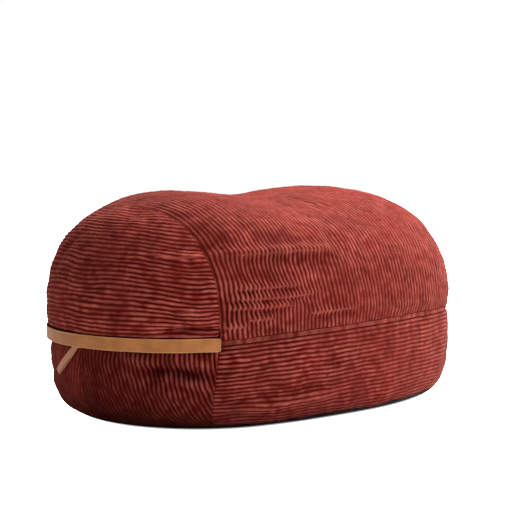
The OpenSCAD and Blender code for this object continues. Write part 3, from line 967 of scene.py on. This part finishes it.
def swept(name, rings, **values):
    """Closed tube through a row of outlines, with both ends filled; the ends keep their sharp rims."""
    rows, cols = rings.shape[:2]
    rings = np.concatenate([rings, rings[:1], rings[-1:]])
    values = {key: np.concatenate([v, v[:1], v[-1:]]) for key, v in values.items()}
    ring = np.arange(cols)
    turn = (ring + 1) % cols
    walls = [np.stack([ring + i * cols, turn + i * cols, turn + (i + 1) * cols, ring + (i + 1) * cols], -1)
             for i in range(rows - 1)]
    first_cap = ring[::-1] + rows * cols
    last_cap = ring + (rows + 1) * cols
    faces = np.concatenate(walls).tolist() + [first_cap.tolist(), last_cap.tolist()]
    return mesh_object(name, rings, faces, **values)


def rounded_section(width, thick, radius, cuts):
    """Closed outline: offsets across the thickness and along the width, with rounded corners."""
    half_w, half_t = width / 2 - radius, thick / 2 - radius
    points = []
    for quarter, (w, t) in enumerate([(1, 1), (-1, 1), (-1, -1), (1, -1)]):
        for turn in np.radians(90 * quarter + np.linspace(0, 90, 5)):
            points.append((t * half_t + radius * math.sin(turn), w * half_w + radius * math.cos(turn)))
        if quarter in (0, 2):
            points += [(t * thick / 2, w * half_w * k) for k in np.linspace(1, -1, cuts)[1:-1]]
    return np.array(points)


def strap_gap(angle):
    """Clear space behind the strap, from the seam's radius, at an angle in degrees."""
    return STRAP_OUT - (STRAP_OUT - STRAP_SEWN_OUT) * smooth((np.abs(angle) - 44) / 7)


def strap_piece(name, first, last, body, node):
    """Leather strap round the zipped end between two angles from -X; its sewn ends have round corners."""
    angle = np.linspace(first, last, int(abs(last - first) * 3) + 1)
    if abs(last) > GRIP_A:
        angle = np.append(angle[:-1], last - np.sign(last) * np.array([0.5, 0.25, 0.12, 0.04, 0]))
    outline = rounded_section(STRAP_W, STRAP_T, 0.0009, 13)
    to_end = (STRAP_A - np.abs(angle)) * math.pi / 180 * SEAM_R
    corner_r = 0.005
    lost = corner_r - np.sqrt(np.maximum(0, corner_r**2 - np.maximum(0, corner_r - to_end) ** 2))
    across = outline[None, :, 1] * (1 - 2 * lost / STRAP_W)[:, None]
    middle = (SEAM_R + strap_gap(angle) + STRAP_T / 2)[:, None]
    free = smooth((STRAP_A - 9 - np.abs(angle)) / 6)[:, None]
    sway = 0.0006 * noise(np.stack([angle * 0.007 + 0 * across.T, 9 * across.T, 0 * across.T], -1), 0.05, 3).T
    radius = middle + outline[None, :, 0] + sway * free
    turn = np.radians(angle)[:, None]
    rings = np.stack([-END_X - radius * np.cos(turn), radius * np.sin(turn), SEAM_Z + across], -1)
    edge = np.maximum(smooth((np.abs(across) - STRAP_W / 2 + 0.003) / 0.003),
                      smooth(1 - to_end[:, None] / 0.003)) * 0.8
    if last < first:
        rings = rings[:, ::-1]
        edge = edge[:, ::-1]
    obj = swept(name, rings, edge=edge)
    finish_piece(obj, STRAP, body, "strap_leather", node)
    return obj


def strap():
    """The stiff grip and the two halves between it and their sewn ends."""
    strap_piece("strap_grip_leather", -GRIP_A, GRIP_A, "grip", "strap_grip")
    for side, name, node in ((-1, "strap_front_leather", "strap_front_half"),
                             (1, "strap_back_leather", "strap_back_half")):
        half = strap_piece(name, side * GRIP_A, side * STRAP_A, None, node)
        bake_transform(half)


def pull_loop():
    """Tape folded round the lower bar of the tab, twisting a little as it hangs."""
    turn = np.linspace(0, math.pi, 9)
    down = np.linspace(0, 1, 26)[1:-1]
    bend = LOOP_HALF_GAP * np.stack([np.cos(turn), np.sin(turn)], -1)
    foot = np.array([0, -LOOP_LONG])
    inner = np.stack([-LOOP_HALF_GAP + 0 * down, -LOOP_LONG * down], -1)
    outer = np.stack([LOOP_HALF_GAP + 0 * down, -LOOP_LONG * (1 - down)], -1)
    path = np.concatenate([bend, inner, foot - bend, outer])
    ahead = unit(np.roll(path, -1, 0) - np.roll(path, 1, 0))
    side = np.stack([ahead[:, 1], -ahead[:, 0]], -1)
    outline = rounded_section(LOOP_W, LOOP_T, 0.0003, 7)
    local = path[:, None] + side[:, None] * outline[None, :, :1]
    across = np.broadcast_to(outline[None, :, 1], local.shape[:2])
    out, height = local[..., 0], local[..., 1]
    share = np.clip(-height / LOOP_LONG, 0, 1)
    twist = LOOP_TWIST * smooth(share)
    bow = 0.006 * np.sin(math.pi * share) * share * (out > 0)
    out, across = out + bow, across * (0.78 + 0.22 * smooth(share * 3))
    out, across = (out * np.cos(twist) + across * np.sin(twist) + 0.0022 * share,
                   across * np.cos(twist) - out * np.sin(twist))
    x = height * math.sin(LOOP_FLARE) - out * math.cos(LOOP_FLARE) - LOOP_IN
    z = height * math.cos(LOOP_FLARE) + out * math.sin(LOOP_FLARE) - LOOP_TOP
    y, z = (across * math.cos(LOOP_LEAN) - z * math.sin(LOOP_LEAN),
            across * math.sin(LOOP_LEAN) + z * math.cos(LOOP_LEAN))
    points = np.stack([x - END_X - SEAM_R, y, z + SEAM_Z], -1)
    rows, cols = points.shape[:2]
    i, j = np.meshgrid(np.arange(rows), np.arange(cols), indexing="ij")
    i, j = i.ravel(), j.ravel()
    faces = np.stack([i * cols + j, i * cols + (j + 1) % cols, (i + 1) % rows * cols + (j + 1) % cols,
                      (i + 1) % rows * cols + j], -1)
    from_middle = np.abs(np.broadcast_to(outline[None, :, 1], (rows, cols)))
    edge = smooth((from_middle - LOOP_W / 2 + 0.0015) / 0.0015) * 0.7
    obj = mesh_object("pull_loop_tape", points, faces, edge=edge)
    finish_piece(obj, TAPE, "pull", "pull_tape", "zip_pull_loop")


strap()
pull_loop()
top_panel()
upper_end(-1, "cover_left_end_cord", "cover_upper_left_end")
upper_end(1, "cover_right_end_cord", "cover_upper_right_end")
lower_side(-1, "cover_front_cord", "cover_lower_front")
lower_side(1, "cover_back_cord", "cover_lower_back")
# Painted light per panel: the left foot's front half darkened as painted shade, its back half lightened.
lower_end(-1, -1, "cover_left_foot_front_cord", "cover_lower_left_end_front", 0.82, 1.0, 0.86)
lower_end(-1, 1, "cover_left_foot_back_cord", "cover_lower_left_end_back", 1.15, 0.6)
lower_end(1, -1, "cover_right_foot_front_cord", "cover_lower_right_end_front", 1.0)
lower_end(1, 1, "cover_right_foot_back_cord", "cover_lower_right_end_back", 1.0)
base_panel()
seam_band()
inner_piece("inner_bag", 0.014, LINER, "liner_fabric", "liner_upper", "liner_lower")
inner_piece("fill", 0.022, BEADS, "beads", "bead_fill")

# ---------------------------------------------------------------- carried-over CAD nodes
NODE_MATERIALS = {
    "zip_tape_upper": ZIP_CLOTH, "zip_tape_lower": ZIP_CLOTH, "zip_teeth": ZIP_TEETH,
    "zip_top_stop": BRASS, "zip_bottom_stop": BRASS, "zip_slider": BRASS, "zip_pull_tab": BRASS,
    "strap_stitching": THREAD, "liner_zip_chain": LINER_ZIP, "liner_zip_slider": LINER_ZIP,
    "care_label": LABEL}
for node_name, node_material in NODE_MATERIALS.items():
    materials = frame["nodes"][node_name].data.materials
    materials.clear()
    materials.append(node_material)

# ---------------------------------------------------------------- floor, lights and camera
CAMERA_AZIMUTH = math.radians(-45.6)
CAMERA_ELEVATION = math.radians(5.4)
CAMERA_DISTANCE = 3.6
CAMERA_VIEW = math.radians(23.35)
CAMERA_HEIGHT_OF_CENTRE = 0.31
LOOK_AT = Vector((0, 0, 0.4255))
LIGHT_DISTANCE = 3.4
BAG_MIDDLE = (0, 0, 0.3)


def around(azimuth, elevation, distance, centre):
    """Point at that distance from centre; azimuth 0 is in front of the bag."""
    return Vector(centre) + distance * Vector((
        math.sin(azimuth) * math.cos(elevation),
        -math.cos(azimuth) * math.cos(elevation),
        math.sin(elevation)))


def aim(obj, target):
    """Turns a light or camera to face a point."""
    obj.rotation_euler = (Vector(target) - obj.location).to_track_quat("-Z", "Y").to_euler()


def area_light(name, azimuth, elevation, size, power):
    """A soft square light that faces the bag's middle, in degrees, metres and watts."""
    data = bpy.data.lights.new(name, "AREA")
    data.shape = "SQUARE"
    data.size = size
    data.energy = power
    obj = bpy.data.objects.new(name, data)
    obj.location = around(math.radians(azimuth), math.radians(elevation), LIGHT_DISTANCE, BAG_MIDDLE)
    aim(obj, BAG_MIDDLE)
    bpy.context.collection.objects.link(obj)


def floor():
    """A plain pale floor that fades into the backdrop and keeps a thin dark line under the bag."""
    bpy.ops.mesh.primitive_plane_add(size=60, location=(0, 0, -0.0005))
    obj = bpy.context.object
    obj.name = "floor"
    material, tree, shader, where = new_material("floor")
    away = add(tree, "ShaderNodeVectorMath", {"Vector": where}, operation="LENGTH").outputs["Value"]
    seen = add(tree, "ShaderNodeLightPath").outputs["Is Camera Ray"]
    clear = add(tree, "ShaderNodeAmbientOcclusion", {"Distance": 0.006}, samples=8).outputs["AO"]
    shown = combine(tree, "MULTIPLY", seen, clear)
    fade = ranged(tree, away, 0.8, 3.0, 0.0, 0.6)
    paint = mix(tree, clouds(tree, where, 0.5), (0.9, 0.9, 0.9, 1), (0.93, 0.93, 0.93, 1))
    connect(tree, shader, {
        "Base Color": paint, "Roughness": 0.9, "Specular IOR Level": 0.1, "Emission Color": (1, 1, 1, 1),
        "Emission Strength": combine(tree, "MULTIPLY_ADD", shown, 2.2, fade)})
    obj.data.materials.append(material)


def world():
    """A white studio that gives little light of its own."""
    scene_world = bpy.data.worlds.new("studio")
    scene_world.use_nodes = True
    tree = scene_world.node_tree
    seen = add(tree, "ShaderNodeLightPath").outputs["Is Camera Ray"]
    connect(tree, tree.nodes["Background"], {
        "Color": (1, 1, 1, 1), "Strength": ranged(tree, seen, 0.0, 1.0, 0.12, 1.0)})
    bpy.context.scene.world = scene_world


floor()
world()
area_light("key_front", 28, 48, 1.8, 83)
area_light("key_right", 65, 50, 1.8, 78)
area_light("key_back", 100, 55, 1.8, 222)
area_light("top", -10, 80, 2.0, 20)
camera_data = bpy.data.cameras.new("camera")
camera_data.angle = CAMERA_VIEW
camera = bpy.data.objects.new("camera", camera_data)
camera.location = around(CAMERA_AZIMUTH, CAMERA_ELEVATION, CAMERA_DISTANCE, (0, 0, CAMERA_HEIGHT_OF_CENTRE))
aim(camera, LOOK_AT)
bpy.context.collection.objects.link(camera)
bpy.context.scene.camera = camera
bpy.context.scene.view_settings.view_transform = "Standard"
